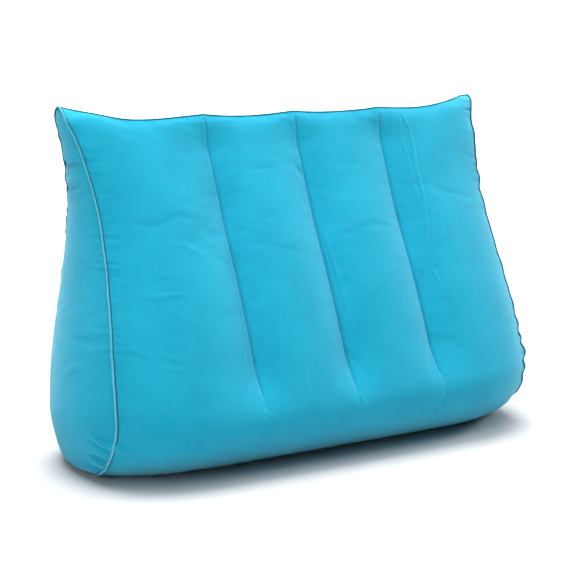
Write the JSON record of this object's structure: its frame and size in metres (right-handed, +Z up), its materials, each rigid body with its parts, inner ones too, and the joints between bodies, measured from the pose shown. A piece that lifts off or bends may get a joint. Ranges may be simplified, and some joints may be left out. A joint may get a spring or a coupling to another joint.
{
  "type": "inflatable wedge pillow",
  "caption": "Turquoise flocked inflatable wedge pillow standing on its thick end, with welded front channels, side gussets and welted seams.",
  "frame": {"origin": "On the surface that the pillow stands on, under the centre of its box.", "axes": "+X along the width, to the right seen from the front; +Y from the sloping front to the back; +Z up, to the thin edge."},
  "size_m": [0.6968, 0.2922, 0.4615],
  "materials": {
    "flocked_cloth": "matte",
    "welt_cloth": "matte"
  },
  "bodies": {
    "root": {"cushion": "flocked_cloth", "welt_left": "welt_cloth", "welt_right": "welt_cloth", "welt_top": "welt_cloth"}
  },
  "joints": []
}
